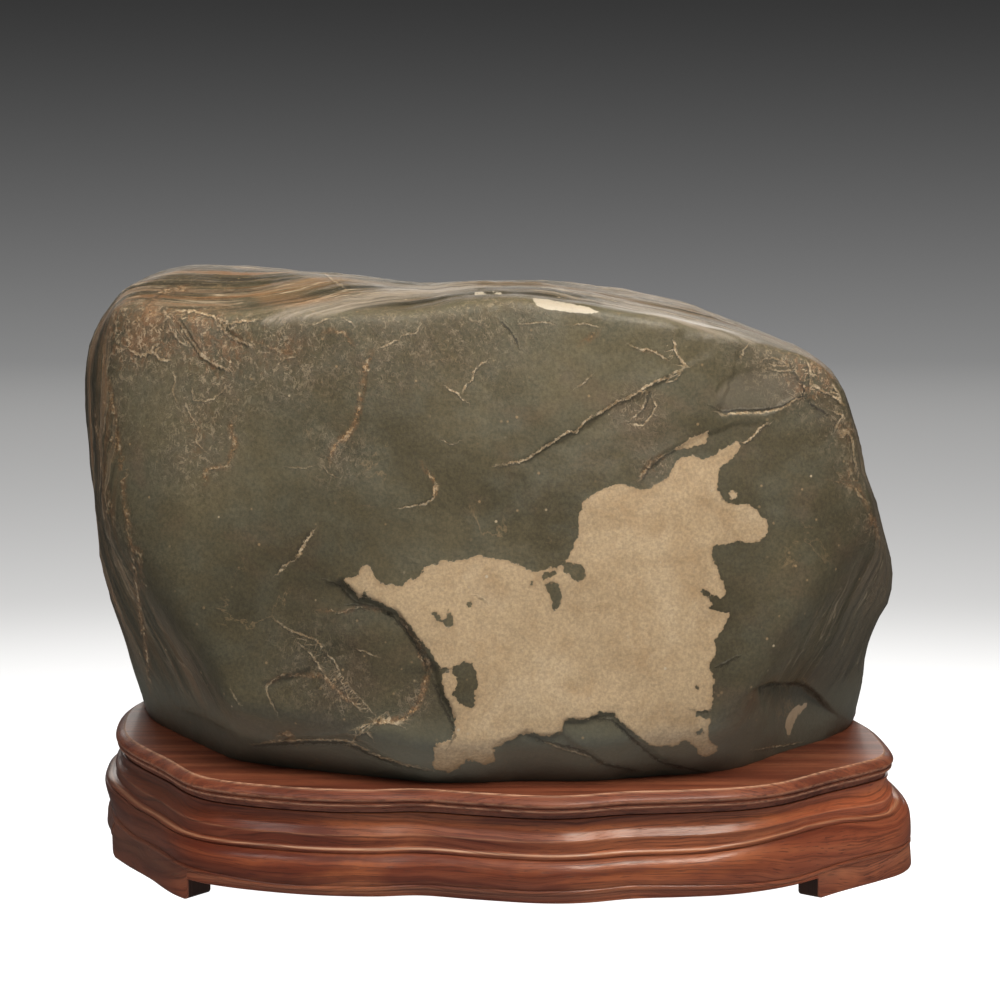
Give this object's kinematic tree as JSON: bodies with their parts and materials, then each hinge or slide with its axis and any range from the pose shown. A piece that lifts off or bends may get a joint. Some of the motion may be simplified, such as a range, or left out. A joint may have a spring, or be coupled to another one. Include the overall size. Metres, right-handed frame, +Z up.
{
  "type": "scholars rock on stand",
  "caption": "Water-worn scholar's rock with a flat, blocky body seated in a moulded rosewood stand on corner feet.",
  "frame": {"origin": "on the floor under the middle of the whole piece's box", "axes": "+X along the rock to its lower, rounded right end, +Y from its patched front to its back, +Z up"},
  "size_m": [0.4133, 0.2587, 0.2891],
  "materials": {
    "rock_stone": "dark olive grey stone, polished by handling, with one pale beige patch and tan and rust veins",
    "top_wood": "oiled rosewood, straight dark grain, semi-gloss",
    "base_wood": "oiled rosewood, flame figure, semi-gloss"
  },
  "bodies": {
    "root": {"rock": "rock_stone", "stand_top": "top_wood", "stand_base": "base_wood"}
  },
  "joints": []
}
